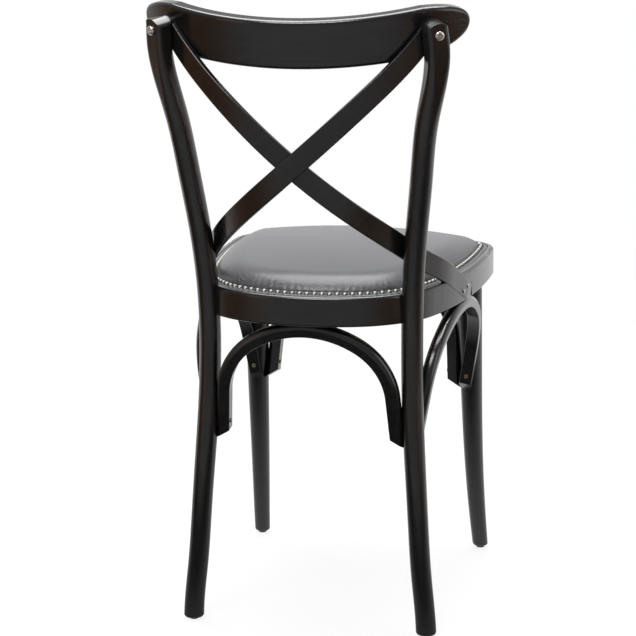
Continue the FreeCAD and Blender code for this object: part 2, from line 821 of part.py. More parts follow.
def arch_between(name, rear_foot, rear_radius, front_foot, front_radius, crown):
    """An arch whose feet bite into two round legs and whose crown bites into the ring."""
    along = unit(rear_foot - front_foot)
    rear = rear_foot - along * rear_radius
    front = front_foot + along * front_radius
    placement, rise, up = arch_placement(rear, front, crown)
    half_span = 0.5 * (rear - front).Length + ARCH_BITE
    foot = (ARCH_FOOT - ARCH_SCREW_Z) / up.z
    body = arch_blank(name, half_span, rise, foot)
    body.Placement = placement
    return body, placement, half_span, rise


def screw_shape(reach):
    """A slotted screw on the Z axis, its head above Z = 0."""
    head = Part.makeCylinder(SCREW_HEAD_RADIUS, SCREW_HEAD_HEIGHT)
    head = head.makeFillet(SCREW_HEAD_CROWN, level_edges(head, SCREW_HEAD_HEIGHT))
    slot = Part.makeBox(4.0 * SCREW_HEAD_RADIUS, SLOT_WIDTH, SLOT_DEPTH * 2.0)
    slot.translate(Vector(-2.0 * SCREW_HEAD_RADIUS, -0.5 * SLOT_WIDTH, SCREW_HEAD_HEIGHT - SLOT_DEPTH))
    shank = Part.makeCylinder(SCREW_RADIUS, reach + 0.1, Vector(0, 0, -reach))
    return head.cut(slot).fuse(shank).removeSplitter()


def screw_hole(point, axis, reach):
    """The hole for a screw whose head rests on a point."""
    length = reach + BORE_LEAD + BORE_SPARE
    return rod(point + axis * BORE_LEAD, axis * -1.0, SCREW_RADIUS + BORE_CLEARANCE, length)


def bolt_shape(reach):
    """A button-head bolt with a six-sided socket on the Z axis, its head above Z = 0."""
    head = Part.makeCylinder(BOLT_HEAD_RADIUS, BOLT_HEAD_HEIGHT)
    head = head.makeFillet(BOLT_HEAD_CROWN, level_edges(head, BOLT_HEAD_HEIGHT))
    corner = BOLT_SOCKET / math.sqrt(3.0)
    points = []
    for number in range(7):
        angle = math.radians(60.0 * number)
        points.append(Vector(corner * math.cos(angle), corner * math.sin(angle), BOLT_SOCKET_FLOOR))
    socket = Part.Face(Part.makePolygon(points)).extrude(Vector(0, 0, BOLT_HEAD_HEIGHT))
    shank = Part.makeCylinder(BOLT_RADIUS, reach + 0.1, Vector(0, 0, -reach))
    return head.cut(socket).fuse(shank).removeSplitter()


def glide(centre):
    """A small disc under a leg, with a pin up into it."""
    disc = Part.makeCylinder(GLIDE_RADIUS, GLIDE_HEIGHT)
    disc = disc.makeFillet(GLIDE_EDGE, level_edges(disc, 0.0))
    pin = Part.makeCylinder(GLIDE_PIN_RADIUS, GLIDE_PIN_LENGTH, Vector(0, 0, 0.5 * GLIDE_HEIGHT))
    whole = disc.fuse(pin).removeSplitter()
    whole.translate(centre - UP * GLIDE_HEIGHT)
    return whole


def foot_rounding(centre, radius):
    """The waste cut away round the lower end of a leg."""
    drum = Part.makeCylinder(radius + FOOT_ROUND, FOOT_ROUND, centre)
    ball = Part.makeTorus(radius - FOOT_ROUND, FOOT_ROUND, centre + UP * FOOT_ROUND)
    core = Part.makeCylinder(radius - FOOT_ROUND, FOOT_ROUND, centre)
    return drum.cut(ball).cut(core)


def build():
    """Every piece by its name."""
    pieces = {}

    # Frame blanks
    ring = seat_ring_blank()
    post = rear_post_blank()
    leg = front_leg_blank()
    rail = crest_rail_blank()
    hinge, out, height = bolt_frame()

    # Slats: the one that starts at the -X post passes behind the other, in a shallow recess
    bow = 0.5 * (SLAT_THICKNESS + SLAT_GAP)
    relief = seat_slab(REBATE_INSET, BOARD_BOTTOM, RING_TOP + RELIEF_HEIGHT)
    front_slat = cross_slat_blank(-bow).cut(rail).cut(relief)
    rear_slat = mirrored(cross_slat_blank(bow)).cut(rail).cut(relief).cut(front_slat)
    ring = ring.cut(ring_groove(-bow)).cut(mirrored(ring_groove(bow)))

    # Posts are notched for the ring and the edge of the seat, and hollowed for the slat ends
    notch = seat_slab(0.0, RING_BOTTOM, RING_TOP)
    left_post = post.cut(notch).cut(relief).cut(front_slat)
    right_post = mirrored(post).cut(notch).cut(relief).cut(rear_slat)

    # Arches
    rear_point, rear_radius = post_at(ARCH_SCREW_Z)
    front_point, front_radius = leg_at(ARCH_SCREW_Z)
    flip = Vector(-1, 1, 1)

    def other(point):
        return Vector(point.x * flip.x, point.y, point.z)

    rear_crown = Vector(0, REAR_ARCH_CROWN_Y, ARCH_CROWN)
    front_crown = Vector(0, FRONT_ARCH_CROWN_Y, ARCH_CROWN)
    side_crown = Vector(SIDE_ARCH_CROWN_X, SIDE_ARCH_CROWN_Y, ARCH_CROWN)
    spans = {
        "arch_rear": (rear_point, rear_radius, other(rear_point), rear_radius, rear_crown),
        "arch_front": (front_point, front_radius, other(front_point), front_radius, front_crown),
        "arch_left": (rear_point, rear_radius, front_point, front_radius, side_crown),
    }
    limb_turn = math.radians(ARCH_LIMB_TURN)
    arches = {}
    screws = {}
    for name, span in spans.items():
        body, placement, half_span, rise = arch_between(name, *span)
        depth = ARCH_BENDS[name][2]
        arches[name] = body
        screws[name] = []
        for side in (1, -1):
            inward = Vector(-side * math.sin(limb_turn), 0.0, -math.cos(limb_turn))
            point = Vector(side * half_span, 0.0, 0.0) + inward * depth
            screws[name].append((placement.multVec(point), placement.Rotation.multVec(inward)))
        axis = placement.Rotation.multVec(Vector(0, 0, -1))
        screws[name].append((placement.multVec(Vector(0.0, 0.0, rise - depth)), axis))
    arches["arch_right"] = mirrored(arches["arch_left"])
    screws["arch_right"] = [(other(point), other(axis)) for point, axis in screws["arch_left"]]

    legs = {"front_leg_left": leg, "front_leg_right": mirrored(leg)}
    posts = {"rear_post_left": left_post, "rear_post_right": right_post}
    ring = ring.cut(leg).cut(legs["front_leg_right"])
    for name in arches:
        body = arches[name].cut(seat_slab(0.0, RING_BOTTOM, RING_TOP))
        for neighbour in list(legs.values()) + list(posts.values()):
            body = body.cut(neighbour)
        arches[name] = body

    # Screws through the arches into the legs and the ring; the side ones reach a slat foot
    slats = {"cross_slat_front": front_slat, "cross_slat_rear": rear_slat}
    for name, places in screws.items():
        reach = ARCH_BENDS[name.replace("right", "left")][2] + ARCH_SCREW_DEPTH
        arch_screw = screw_shape(reach)
        solids = [turned_to(arch_screw, point, axis) for point, axis in places]
        holes = Part.makeCompound([screw_hole(point, axis, reach) for point, axis in places])
        pieces[name.replace("arch", "arch_screws")] = Part.makeCompound(solids)
        arches[name] = arches[name].cut(holes)
        ring = ring.cut(holes)
        for group in (legs, posts, slats):
            for key in group:
                group[key] = group[key].cut(holes)

    # Crest bolts: post, slat end and a threaded insert in the rail
    seat_face = SLAT_THICKNESS + POST_TOP_DEPTH
    for side, post_key in ((1, "rear_post_left"), (-1, "rear_post_right")):
        word = "left" if side > 0 else "right"
        point = hinge if side > 0 else other(hinge)
        axis = out if side > 0 else other(out)
        bolt = turned_to(bolt_shape(seat_face + BOLT_REACH), point + axis * (seat_face + HEAD_LIFT), axis)
        pieces["crest_bolt_" + word] = bolt
        start = point + axis * (seat_face + BORE_LEAD)
        bore = rod(start, axis * -1.0, BOLT_RADIUS + BORE_CLEARANCE, seat_face + BORE_LEAD)
        posts[post_key] = posts[post_key].cut(bore)
        rail = rail.cut(rod(point + axis * 1.0, axis * -1.0, INSERT_RADIUS, INSERT_LENGTH + 1.0))
        insert = rod(point - axis * 0.2, axis * -1.0, INSERT_RADIUS, INSERT_LENGTH - 0.2)
        thread = rod(point, axis * -1.0, BOLT_RADIUS + THREAD_CLEARANCE, 2.0 * INSERT_LENGTH)
        pieces["crest_insert_" + word] = insert.cut(thread)
        slat_key = "cross_slat_front" if side > 0 else "cross_slat_rear"
        slats[slat_key] = slats[slat_key].cut(bore)
        rail = rail.cut(rod(point, axis * -1.0, BOLT_RADIUS + BORE_CLEARANCE, BOLT_REACH + BORE_SPARE))

    # Bolts from inside the ring into the notched posts
    corner_bend = seat_bends()[1]
    middle = 0.5 * (RING_BOTTOM + RING_TOP)
    post_centre, post_radius = post_at(middle)
    toward = Vector(post_centre.x - corner_bend[0], post_centre.y - corner_bend[1], 0.0)
    heading = math.atan2(toward.x, toward.y)
    start = bend_point(corner_bend, heading, RING_WALL, middle)
    ring_bolt = bolt_shape(RING_BOLT_REACH)
    for side, post_key in ((1, "rear_post_left"), (-1, "rear_post_right")):
        word = "left" if side > 0 else "right"
        point = start if side > 0 else other(start)
        axis = Vector(-side * math.sin(heading), -math.cos(heading), 0.0)
        pieces["ring_bolt_" + word] = turned_to(ring_bolt, point, axis)
        length = RING_BOLT_REACH + BORE_LEAD + BORE_SPARE
        bore = rod(point + axis * BORE_LEAD, axis * -1.0, BOLT_RADIUS + BORE_CLEARANCE, length)
        ring = ring.cut(bore)
        posts[post_key] = posts[post_key].cut(bore)

    # Slotted screws through the slat ends into the ring
    slat_screw = screw_shape(SLAT_SCREW_REACH)
    for side, word in ((1, "left"), (-1, "right")):
        solids = []
        holes = []
        for y, z in SLAT_SCREWS:
            bend, heading = side_heading(y)
            base = bend_point(bend, heading, -SLAT_PROUD - 0.1, z)
            axis = Vector(side * math.sin(heading), math.cos(heading), 0.0)
            point = Vector(side * base.x, base.y, z)
            solids.append(turned_to(slat_screw, point, axis))
            holes.append(screw_hole(point, axis, SLAT_SCREW_REACH))
        pieces["slat_screws_" + word] = Part.makeCompound(solids)
        holes = Part.makeCompound(holes)
        ring = ring.cut(holes)
        slat_key = "cross_slat_rear" if side > 0 else "cross_slat_front"
        slats[slat_key] = slats[slat_key].cut(holes)

    # Drop-in seat and the screws that hold it from below
    board = seat_slab(BOARD_INSET, BOARD_BOTTOM, BOARD_TOP)
    seat_screw = screw_shape(SEAT_SCREW_REACH)
    solids = []
    holes = []
    for degrees in SEAT_SCREW_PLACES:
        heading = math.radians(degrees)
        for bend in seat_bends():
            if bend[3] <= heading <= bend[4]:
                place = bend_point(bend, heading, SEAT_SCREW_INSET, RING_BOTTOM)
        for side in (1, -1):
            point = Vector(side * place.x, place.y, place.z)
            solids.append(turned_to(seat_screw, point, UP * -1.0))
            holes.append(screw_hole(point, UP * -1.0, SEAT_SCREW_REACH))
    pieces["seat_screws"] = Part.makeCompound(solids)
    holes = Part.makeCompound(holes)
    ring = ring.cut(holes)
    board = board.cut(holes)
    pins = nail_holes()
    pieces["seat_board"] = board.cut(pins)
    pieces["seat_foam"] = seat_foam()
    pieces["seat_cover"] = seat_cover().cut(pins)
    pieces["nailhead_trim"] = nailhead_trim()

    # Glides
    for word, side in (("left", 1), ("right", -1)):
        for kind, group, path in (("rear", posts, POST_PATH), ("front", legs, LEG_PATH)):
            foot = Vector(side * path[0][1], path[0][2], LEG_END)
            piece = glide(foot)
            pieces["glide_" + kind + "_" + word] = piece
            key = "rear_post_" + word if kind == "rear" else "front_leg_" + word
            group[key] = group[key].cut(piece).cut(foot_rounding(foot, path[0][3]))

    pieces["seat_ring"] = ring
    pieces["crest_rail"] = rail
    pieces.update(slats)
    pieces.update(arches)
    pieces.update(legs)
    pieces.update(posts)
    return pieces


def write_all():
    """Centre the chair front to back, stand it on its glides and write every piece."""
    pieces = build()
    low = pieces["seat_ring"].optimalBoundingBox(False, False).YMin
    high = pieces["crest_rail"].optimalBoundingBox(False, False).YMax
    shift = Vector(0.0, -0.5 * (low + high), GLIDE_HEIGHT - LEG_END)
    print("shift along Y", round(shift.y, 3), "shift along Z", round(shift.z, 3))
    os.makedirs("parts", exist_ok=True)
    for name, piece in sorted(pieces.items()):
        moved = piece.copy()
        moved.translate(shift)
        volume = round(moved.Volume, 1)
        print(name, "solids", len(moved.Solids), "valid", moved.isValid(), "volume", volume)
        moved.exportStep("parts/" + name + ".step")


write_all()
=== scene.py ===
# Looks of the bentwood chair. Metres, in the frame of the CAD: +Z is up and the sitter faces -Y.

import math

import bmesh
import bpy
from mathutils import Matrix, Vector


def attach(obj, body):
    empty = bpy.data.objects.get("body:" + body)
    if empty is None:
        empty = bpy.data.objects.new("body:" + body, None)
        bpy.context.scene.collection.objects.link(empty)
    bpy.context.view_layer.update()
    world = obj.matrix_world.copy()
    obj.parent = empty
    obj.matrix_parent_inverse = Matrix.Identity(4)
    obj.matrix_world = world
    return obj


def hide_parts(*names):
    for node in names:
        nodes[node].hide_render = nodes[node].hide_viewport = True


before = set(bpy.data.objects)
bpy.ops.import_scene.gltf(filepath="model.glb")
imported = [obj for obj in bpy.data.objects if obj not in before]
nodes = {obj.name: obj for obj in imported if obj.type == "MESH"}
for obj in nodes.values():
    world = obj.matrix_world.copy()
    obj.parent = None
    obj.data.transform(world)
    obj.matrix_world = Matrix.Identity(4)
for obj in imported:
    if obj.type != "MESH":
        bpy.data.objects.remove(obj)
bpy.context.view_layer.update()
scene = bpy.context.scene

MM = 0.001

# Colours, as linear red, green and blue
WHITE = (1.0, 1.0, 1.0)
LACQUER_DARK = (0.0025, 0.0024, 0.0023)
LACQUER_LIGHT = (0.0052, 0.005, 0.0049)
LEATHER_DARK = (0.012, 0.0124, 0.0138)
LEATHER_LIGHT = (0.03, 0.031, 0.0345)
NICKEL = (0.17, 0.165, 0.155)
CHROME = (0.78, 0.78, 0.77)
BRASS = (0.44, 0.36, 0.21)
ZINC = (0.55, 0.55, 0.53)
GLIDE_BROWN = (0.075, 0.032, 0.022)
PLYWOOD = (0.5, 0.36, 0.21)
FLOOR_GREY = (0.86, 0.86, 0.86)
ROOM_NEUTRAL = (0.34, 0.345, 0.36)
ROOM_WARM = (0.3, 0.15, 0.075)
WALL_LOW = (1.1, 1.1, 1.11)
WALL_HIGH = (0.45, 0.45, 0.46)
LAMP_WARM = (1.0, 0.55, 0.3)

# How often the pores repeat per metre along X, Y and Z: seldom along the grain, often across it
UPRIGHT_GRAIN = (230.0, 230.0, 9.0)
RAIL_GRAIN = (11.0, 60.0, 260.0)
RING_GRAIN = (26.0, 26.0, 300.0)
ARCH_GRAIN = (70.0, 70.0, 90.0)
SLAT_GRAIN = (12.0, 60.0, 260.0)
SLAT_TILT = math.radians(44.0)

# The photo's camera, fitted to the outlines of the chair
CAMERA_PLACE = (-0.77658, 3.220669, 1.1856)
CAMERA_TURN = 3.385246
CAMERA_RISE = 0.230415
CAMERA_ROLL = -0.0097024
FOCUS_PIXELS = 2371.86
PICTURE_PIXELS = 636.0
CENTRE_PIXELS = (318.67, 316.60)
SENSOR_MM = 36.0
CAMERA_REACH = 50.0

# The floor is a disc that fades out before its edge
FLOOR_RADIUS = 6.0
FLOOR_FADE = (1.0, 2.6)
FLOOR_GLOW = 0.86

# Arcs of the seat ring in plan, from the middle of the rear: radius in mm and heading in degrees at the end
RING_BENDS = ((252.0, 17.5), (139.0, 70.0), (455.0, 80.5), (980.0, 92.6), (47.0, 160.0))
RING_REAR_Y = 201.789

# The leather cover in mm, in the places that the CAD gives it
COVER_INSET = 9.2
SKIRT_FOOT = 472.0
SKIRT_TOP = 480.5
SKIRT_THICKNESS = 1.6
SKIRT_ROUND = 1.2
SHOULDER = ((0.0, -0.6), (0.15, 0.3), (0.5, 0.85))
MARGIN_WIDTH = 12.2
MARGIN_RISE = math.tan(math.radians(6.0))
MARGIN_STEPS = 6
PAD_INSET = COVER_INSET + SKIRT_ROUND + MARGIN_WIDTH
PAD_START = SKIRT_TOP + SKIRT_ROUND + MARGIN_WIDTH * MARGIN_RISE
PAD_CROWN = 30.2
PAD_DOME = 1650.0
PAD_SIDE = 32.0
PAD_FULLNESS = 1.75
PAD_SIDE_ROWS = (0.3, 0.8, 1.5, 2.4, 3.6, 5.0, 6.6, 8.4, 10.4, 12.6, 15.0, 17.6, 20.2)
PAD_TOP_STEPS = 19
PAD_TOP_SPREAD = 1.15
PAD_TOP_DEPTH = 150.0
SEAT_MIDDLE_Y = -15.0
POINTS_AROUND = 1024

# Small folds where the nails hold the leather
NAIL_COUNT = 128
PUCKER_DEPTH = 1.3
PUCKER_START = 2.0
PUCKER_REACH = 15.0
PUCKER_MEAN = 0.72
PUCKER_SPREAD = 0.28


# Node helpers


def rgba(colour):
    return tuple(colour) + (1.0,)


def new_material(name):
    material = bpy.data.materials.new(name)
    material.use_nodes = True
    tree = material.node_tree
    return material, tree, tree.nodes["Principled BSDF"]


def add(tree, kind, **values):
    """A new node, with each value on the input of that name or else on the node itself."""
    node = tree.nodes.new(kind)
    for key, value in values.items():
        if key in node.inputs.keys():
            node.inputs[key].default_value = value
        else:
            setattr(node, key, value)
    return node


def link(tree, out, into):
    tree.links.new(out, into)


def feed(tree, socket, value):
    """Link an output to an input, or write a plain value on it."""
    if isinstance(value, bpy.types.NodeSocket):
        link(tree, value, socket)
    else:
        socket.default_value = value


def object_place(tree):
    return tree.nodes.new("ShaderNodeTexCoord").outputs["Object"]


def stretched_place(tree, stretch, turn):
    """Object coordinates, turned and stretched, so that a pattern can run along a piece."""
    first = add(tree, "ShaderNodeMapping", Rotation=turn)
    second = add(tree, "ShaderNodeMapping", Scale=stretch)
    link(tree, object_place(tree), first.inputs["Vector"])
    link(tree, first.outputs["Vector"], second.inputs["Vector"])
    return second.outputs["Vector"]


def noise(tree, place, **values):
    node = add(tree, "ShaderNodeTexNoise", **values)
    link(tree, place, node.inputs["Vector"])
    return node


def ramp(tree, value, low_high, low_high_out):
    """Map a value from one range to another, and hold it at the ends."""
    node = tree.nodes.new("ShaderNodeMapRange")
    node.inputs["From Min"].default_value = low_high[0]
    node.inputs["From Max"].default_value = low_high[1]
    node.inputs["To Min"].default_value = low_high_out[0]
    node.inputs["To Max"].default_value = low_high_out[1]
    link(tree, value, node.inputs["Value"])
    return node.outputs["Result"]


def mix_colour(tree, share, first, second):
    node = tree.nodes.new("ShaderNodeMix")
    node.data_type = "RGBA"
    feed(tree, node.inputs["A"], first)
    feed(tree, node.inputs["B"], second)
    link(tree, share, node.inputs["Factor"])
    return node.outputs["Result"]


def mix_shader(tree, share, first, second):
    node = tree.nodes.new("ShaderNodeMixShader")
    link(tree, share, node.inputs["Fac"])
    link(tree, first, node.inputs[1])
    link(tree, second, node.inputs[2])
    return node.outputs["Shader"]


def combine(tree, kind, first, second):
    """One step of arithmetic on two numbers or outputs."""
    node = add(tree, "ShaderNodeMath", operation=kind)
    feed(tree, node.inputs[0], first)
    feed(tree, node.inputs[1], second)
    return node.outputs["Value"]


def bump_from(tree, shader, height, strength, distance):
    bump = add(tree, "ShaderNodeBump", Strength=strength, Distance=distance)
    link(tree, height, bump.inputs["Height"])
    link(tree, bump.outputs["Normal"], shader.inputs["Normal"])


# Materials


def lacquered_beech(name, stretch, turn=(0.0, 0.0, 0.0)):
    """Black satin lacquer over beech: fine lengthwise pores and a slow unevenness that show in the gloss."""
    material, tree, shader = new_material(name)
    along = stretched_place(tree, stretch, turn)
    place = object_place(tree)
    pores = noise(tree, along, Scale=1.0, Detail=6.0, Roughness=0.62, Distortion=0.2).outputs["Fac"]
    slow = noise(tree, place, Scale=9.0, Detail=3.0, Roughness=0.5).outputs["Fac"]
    peel = noise(tree, place, Scale=420.0, Detail=2.0, Roughness=0.5).outputs["Fac"]
    grain = ramp(tree, pores, (0.36, 0.62), (0.0, 1.0))
    link(tree, mix_colour(tree, grain, rgba(LACQUER_DARK), rgba(LACQUER_LIGHT)), shader.inputs["Base Color"])
    broad_gloss = ramp(tree, slow, (0.35, 0.65), (0.15, 0.2))
    pore_gloss = ramp(tree, pores, (0.3, 0.7), (0.05, -0.01))
    link(tree, combine(tree, "ADD", broad_gloss, pore_gloss), shader.inputs["Roughness"])
    height = combine(tree, "ADD", pores, combine(tree, "MULTIPLY", peel, 0.12))
    bump_from(tree, shader, height, strength=0.2, distance=0.0007)
    shader.inputs["Specular IOR Level"].default_value = 0.6
    shader.inputs["IOR"].default_value = 1.52
    return material


def metal(name, colour, roughness, spots):
    """Plated metal with small stains that darken it and change its gloss."""
    material, tree, shader = new_material(name)
    stains = noise(tree, object_place(tree), Scale=spots, Detail=4.0, Roughness=0.6).outputs["Fac"]
    clean = ramp(tree, stains, (0.4, 0.65), (0.0, 1.0))
    stained = [0.72 * part for part in colour]
    link(tree, mix_colour(tree, clean, rgba(stained), rgba(colour)), shader.inputs["Base Color"])
    gloss = ramp(tree, stains, (0.3, 0.7), (roughness + 0.08, roughness))
    link(tree, gloss, shader.inputs["Roughness"])
    shader.inputs["Metallic"].default_value = 1.0
    return material


def leather(name):
    """Dark grey pebbled leather: wavy cells with creases between them over a softer unevenness, and painted
    shade darkening the colour in the creases.
    """
    material, tree, shader = new_material(name)
    place = object_place(tree)
    wobble = add(tree, "ShaderNodeVectorMath", operation="SCALE", Scale=0.0035)
    wave = noise(tree, place, Scale=160.0, Detail=2.0, Roughness=0.5)
    link(tree, wave.outputs["Color"], wobble.inputs[0])
    moved = add(tree, "ShaderNodeVectorMath", operation="ADD")
    link(tree, place, moved.inputs[0])
    link(tree, wobble.outputs["Vector"], moved.inputs[1])
    cells = add(tree, "ShaderNodeTexVoronoi", feature="DISTANCE_TO_EDGE", Scale=520.0)
    link(tree, moved.outputs["Vector"], cells.inputs["Vector"])
    to_edge = cells.outputs["Distance"]
    cloudy = noise(tree, place, Scale=14.0, Detail=3.0, Roughness=0.55).outputs["Fac"]
    # Painted shade: the colour is darker in the creases between the cells. The cloudy noise varies the tone
    # at random, and the two multiply into one tone.
    crease_painted_shade = ramp(tree, to_edge, (0.0, 0.12), (0.7, 1.0))
    cloud_shade = ramp(tree, cloudy, (0.3, 0.7), (0.88, 1.08))
    tone_and_painted_shade = combine(tree, "MULTIPLY", crease_painted_shade, cloud_shade)
    link(tree, mix_colour(tree, tone_and_painted_shade, rgba(LEATHER_DARK), rgba(LEATHER_LIGHT)), shader.inputs["Base Color"])
    link(tree, ramp(tree, to_edge, (0.0, 0.2), (0.5, 0.42)), shader.inputs["Roughness"])
    fine = noise(tree, place, Scale=1500.0, Detail=3.0, Roughness=0.6).outputs["Fac"]
    pebbles = noise(tree, place, Scale=320.0, Detail=3.0, Roughness=0.55).outputs["Fac"]
    creases = ramp(tree, to_edge, (0.0, 0.16), (0.0, 1.0))
    height = combine(tree, "ADD", creases, combine(tree, "MULTIPLY", fine, 0.25))
    height = combine(tree, "ADD", height, combine(tree, "MULTIPLY", pebbles, 2.2))
    bump_from(tree, shader, height, strength=0.55, distance=0.0006)
    shader.inputs["Specular IOR Level"].default_value = 0.45
    shader.inputs["Coat Weight"].default_value = 0.5
    shader.inputs["Coat Roughness"].default_value = 0.3
    return material


def plain(name, colour, roughness, scale, depth):
    """A matt material with a slow change of tone and a fine roughness."""
    material, tree, shader = new_material(name)
    cloudy = noise(tree, object_place(tree), Scale=scale, Detail=4.0, Roughness=0.6).outputs["Fac"]
    share = ramp(tree, cloudy, (0.35, 0.65), (0.0, 1.0))
    darker = [0.8 * part for part in colour]
    link(tree, mix_colour(tree, share, rgba(darker), rgba(colour)), shader.inputs["Base Color"])
    shader.inputs["Roughness"].default_value = roughness
    bump_from(tree, shader, cloudy, strength=0.3, distance=depth)
    return material


def dress(names, material):
    for name in names:
        slots = nodes[name].data.materials
        slots.clear()
        slots.append(material)


def sided(name, sides):
    return [f"{name}_{side}" for side in sides]


def dress_wood():
    left_right = ("left", "right")
    uprights = sided("rear_post", left_right) + sided("front_leg", left_right)
    dress(uprights, lacquered_beech("lacquer_upright", UPRIGHT_GRAIN))
    dress(("crest_rail",), lacquered_beech("lacquer_level", RAIL_GRAIN))
    dress(("seat_ring",), lacquered_beech("lacquer_ring", RING_GRAIN))
    dress(sided("arch", ("front", "rear", "left", "right")), lacquered_beech("lacquer_arch", ARCH_GRAIN))
    dress(("cross_slat_rear",), lacquered_beech("lacquer_falling", SLAT_GRAIN, (0.0, SLAT_TILT, 0.0)))
    dress(("cross_slat_front",), lacquered_beech("lacquer_rising", SLAT_GRAIN, (0.0, -SLAT_TILT, 0.0)))


def dress_fittings():
    left_right = ("left", "right")
    dress(("nailhead_trim",), metal("nickel", NICKEL, roughness=0.26, spots=420.0))
    dress(sided("crest_bolt", left_right), metal("chrome", CHROME, roughness=0.14, spots=120.0))
    brass = metal("brass", BRASS, roughness=0.34, spots=200.0)
    dress(sided("arch_screws", ("front", "left", "rear", "right")), brass)
    steel = sided("slat_screws", left_right) + ["seat_screws"]
    steel += sided("ring_bolt", left_right) + sided("crest_insert", left_right)
    dress(steel, metal("zinc", ZINC, roughness=0.32, spots=200.0))
    glides = sided("glide_front", left_right) + sided("glide_rear", left_right)
    dress(glides, plain("glide_plastic", GLIDE_BROWN, roughness=0.5, scale=180.0, depth=0.0002))
    dress(("seat_board",), plain("plywood", PLYWOOD, roughness=0.7, scale=60.0, depth=0.0003))


# Camera


def set_camera():
    back = Vector(
        (
            math.sin(CAMERA_TURN) * math.cos(CAMERA_RISE),
            -math.cos(CAMERA_TURN) * math.cos(CAMERA_RISE),
            math.sin(CAMERA_RISE),
        )
    )
    level = (-back).cross(Vector((0.0, 0.0, 1.0))).normalized()
    above = level.cross(-back)
    right = level * math.cos(CAMERA_ROLL) + above * math.sin(CAMERA_ROLL)
    up = above * math.cos(CAMERA_ROLL) - level * math.sin(CAMERA_ROLL)
    data = bpy.data.cameras.new("camera")
    camera = bpy.data.objects.new("camera", data)
    scene.collection.objects.link(camera)
    pose = Matrix((right, up, back)).transposed().to_4x4()
    pose.translation = Vector(CAMERA_PLACE)
    camera.matrix_world = pose
    data.sensor_width = SENSOR_MM
    data.sensor_fit = "HORIZONTAL"
    data.lens = SENSOR_MM * FOCUS_PIXELS / PICTURE_PIXELS
    data.shift_x = (PICTURE_PIXELS / 2.0 - CENTRE_PIXELS[0]) / PICTURE_PIXELS
    data.shift_y = (CENTRE_PIXELS[1] - PICTURE_PIXELS / 2.0) / PICTURE_PIXELS
    data.clip_end = CAMERA_REACH
    scene.camera = camera


# Stage


def mirrored_floor_light(tree, place, path):
    """Strength of the glow: full to the camera, and in reflections dim between the chair and the camera."""
    spot = tree.nodes.new("ShaderNodeSeparateXYZ")
    link(tree, place, spot.inputs["Vector"])
    under_chair = ramp(tree, spot.outputs["Y"], (-0.4, 0.4), (1.0, 0.06))
    near_camera = ramp(tree, spot.outputs["Y"], (0.9, 1.4), (0.06, 0.6))
    lit = combine(tree, "MAXIMUM", under_chair, near_camera)
    loss = combine(tree, "SUBTRACT", 1.0, lit)
    dimmed = combine(tree, "MULTIPLY", path.outputs["Is Glossy Ray"], loss)
    return combine(tree, "SUBTRACT", 1.0, dimmed)


def floor_material():
    """White to the camera with the chair's shadow kept, a glow in reflections, and clear towards the edge."""
    material, tree, shader = new_material("floor")
    shader.inputs["Base Color"].default_value = rgba(FLOOR_GREY)
    shader.inputs["Roughness"].default_value = 0.9
    place = object_place(tree)
    path = tree.nodes.new("ShaderNodeLightPath")
    glow = add(tree, "ShaderNodeEmission", Color=rgba(WHITE))
    link(tree, mirrored_floor_light(tree, place, path), glow.inputs["Strength"])
    direct = combine(tree, "MULTIPLY", path.outputs["Is Camera Ray"], FLOOR_GLOW)
    mirrored = combine(tree, "MAXIMUM", path.outputs["Is Glossy Ray"], path.outputs["Is Transmission Ray"])
    share = combine(tree, "MAXIMUM", direct, mirrored)
    inner = mix_shader(tree, share, shader.outputs["BSDF"], glow.outputs["Emission"])
    reach = add(tree, "ShaderNodeVectorMath", operation="LENGTH")
    link(tree, place, reach.inputs[0])
    fade = ramp(tree, reach.outputs["Value"], FLOOR_FADE, (0.0, 1.0))
    clear = tree.nodes.new("ShaderNodeBsdfTransparent")
    surface = mix_shader(tree, fade, inner, clear.outputs["BSDF"])
    link(tree, surface, tree.nodes["Material Output"].inputs["Surface"])
    return material


def lay_floor():
    bpy.ops.mesh.primitive_circle_add(vertices=96, radius=FLOOR_RADIUS, fill_type="NGON")
    floor = bpy.context.object
    floor.name = "floor"
    floor.data.materials.append(floor_material())


def room_colour(tree):
    """A pale wall behind the chair, and on the camera's side a dimmer room, warm low down at both sides."""
    place = tree.nodes.new("ShaderNodeTexCoord")
    parts = tree.nodes.new("ShaderNodeSeparateXYZ")
    link(tree, place.outputs["Generated"], parts.inputs["Vector"])
    behind = ramp(tree, parts.outputs["Y"], (-0.5, -0.05), (1.0, 0.0))
    low = ramp(tree, parts.outputs["Z"], (-0.05, 0.12), (1.0, 0.0))
    high = ramp(tree, parts.outputs["Z"], (0.25, 0.6), (0.0, 1.0))
    sideways = combine(tree, "ABSOLUTE", parts.outputs["X"], 0.0)
    aside = ramp(tree, sideways, (0.55, 0.8), (0.0, 1.0))
    warm = combine(tree, "MULTIPLY", low, aside)
    near = mix_colour(tree, warm, rgba(ROOM_NEUTRAL), rgba(ROOM_WARM))
    wall = mix_colour(tree, high, rgba(WALL_LOW), rgba(WALL_HIGH))
    return mix_colour(tree, behind, near, wall)


def light_room():
    """The world: white to the camera and through glass, and a room for the light and the reflections."""
    world = bpy.data.worlds.new("studio")
    scene.world = world
    world.use_nodes = True
    tree = world.node_tree
    tree.nodes.clear()
    room = add(tree, "ShaderNodeBackground", Strength=1.0)
    link(tree, room_colour(tree), room.inputs["Color"])
    backdrop = add(tree, "ShaderNodeBackground", Color=rgba(WHITE), Strength=1.0)
    path = tree.nodes.new("ShaderNodeLightPath")
    seen = combine(tree, "MAXIMUM", path.outputs["Is Camera Ray"], path.outputs["Is Transmission Ray"])
    output = tree.nodes.new("ShaderNodeOutputWorld")
    both = mix_shader(tree, seen, room.outputs["Background"], backdrop.outputs["Background"])
    link(tree, both, output.inputs["Surface"])


